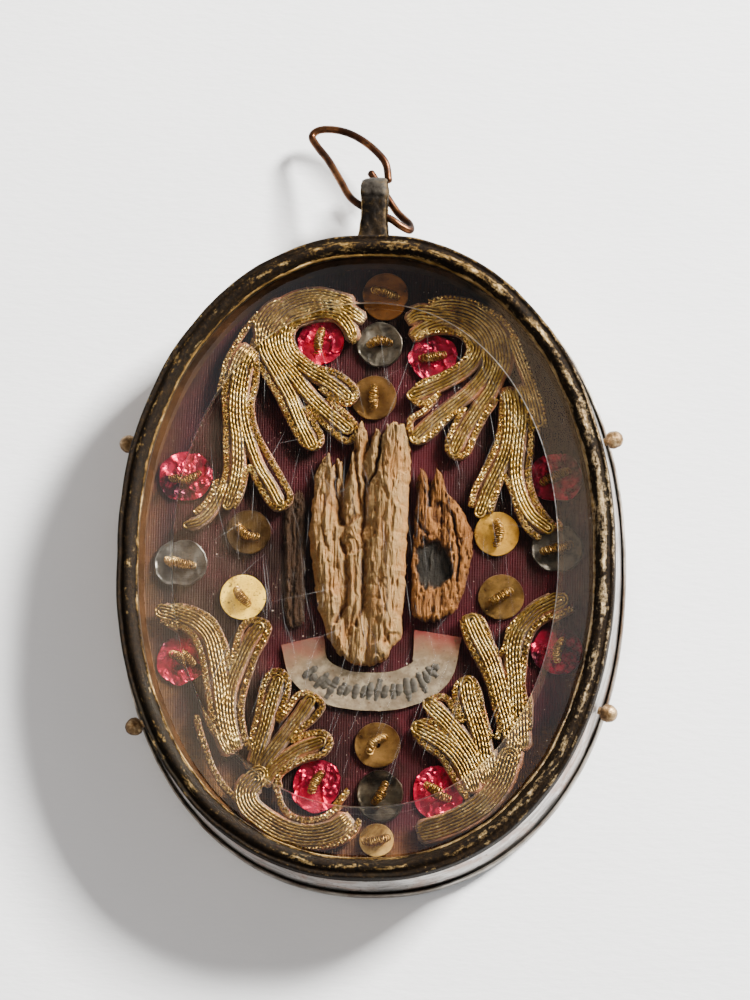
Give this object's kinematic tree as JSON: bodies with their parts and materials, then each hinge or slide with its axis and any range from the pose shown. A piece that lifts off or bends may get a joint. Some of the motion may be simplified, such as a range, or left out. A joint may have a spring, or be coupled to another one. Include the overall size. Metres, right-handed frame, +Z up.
{
  "type": "pendant reliquary capsule",
  "caption": "Oval glazed reliquary capsule with a gilt bezel, relics and gilt wirework on dark silk, and a wire hanging loop, lying on its back.",
  "frame": {"origin": "The middle of the oval, on the underside of the back plate, which the capsule lies on.", "axes": "+Z up through the glass, +Y towards the lug and the wire loop, +X to the right as the glass is seen from above with the lug away from the viewer."},
  "size_m": [0.0593, 0.0916, 0.0115],
  "materials": {
    "silvered_metal": "satin",
    "worn_gilt": "satin",
    "glass": "polished",
    "lining_paper": "matte",
    "dark_silk": "satin",
    "label_paper": "matte",
    "dark_metal": "satin",
    "copper_wire": "satin",
    "gilt_wire": "satin",
    "pale_bone": "matte",
    "brown_bone": "matte",
    "gold_spangle": "satin",
    "tarnished_spangle": "satin",
    "red_foil": "gloss",
    "pin_metal": "satin"
  },
  "bodies": {
    "root": {"back_plate": "silvered_metal", "case_band": "silvered_metal", "bezel": "worn_gilt", "glass": "glass", "lining_strip": "lining_paper", "silk_pad": "dark_silk", "relic_main": "pale_bone", "relic_right": "brown_bone", "relic_left": "brown_bone", "label": "label_paper", "wirework_upper_left": "gilt_wire", "wirework_upper_right": "gilt_wire", "wirework_lower_left": "gilt_wire", "wirework_lower_right": "gilt_wire", "gold_sequin_1": "gold_spangle", "gold_sequin_2": "gold_spangle", "gold_sequin_3": "gold_spangle", "gold_sequin_4": "gold_spangle", "gold_sequin_5": "gold_spangle", "gold_sequin_6": "gold_spangle", "gold_sequin_7": "gold_spangle", "gold_sequin_8": "gold_spangle", "silver_sequin_1": "tarnished_spangle", "silver_sequin_2": "tarnished_spangle", "silver_sequin_3": "tarnished_spangle", "silver_sequin_4": "tarnished_spangle", "red_foil_1": "red_foil", "red_foil_2": "red_foil", "red_foil_3": "red_foil", "red_foil_4": "red_foil", "red_foil_5": "red_foil", "red_foil_6": "red_foil", "red_foil_7": "red_foil", "red_foil_8": "red_foil", "gilt_coil_01": "gilt_wire", "gilt_coil_02": "gilt_wire", "gilt_coil_03": "gilt_wire", "gilt_coil_04": "gilt_wire", "gilt_coil_05": "gilt_wire", "gilt_coil_06": "gilt_wire", "gilt_coil_07": "gilt_wire", "gilt_coil_08": "gilt_wire", "gilt_coil_09": "gilt_wire", "gilt_coil_10": "gilt_wire", "gilt_coil_11": "gilt_wire", "gilt_coil_12": "gilt_wire", "gilt_coil_13": "gilt_wire", "gilt_coil_14": "gilt_wire", "gilt_coil_15": "gilt_wire", "gilt_coil_16": "gilt_wire", "gilt_coil_17": "gilt_wire", "gilt_coil_18": "gilt_wire", "gilt_coil_19": "gilt_wire", "gilt_coil_20": "gilt_wire", "suspension_lug": "dark_metal", "wire_loop": "copper_wire", "pin_1": "pin_metal", "pin_2": "pin_metal", "pin_3": "pin_metal", "pin_4": "pin_metal"}
  },
  "joints": []
}
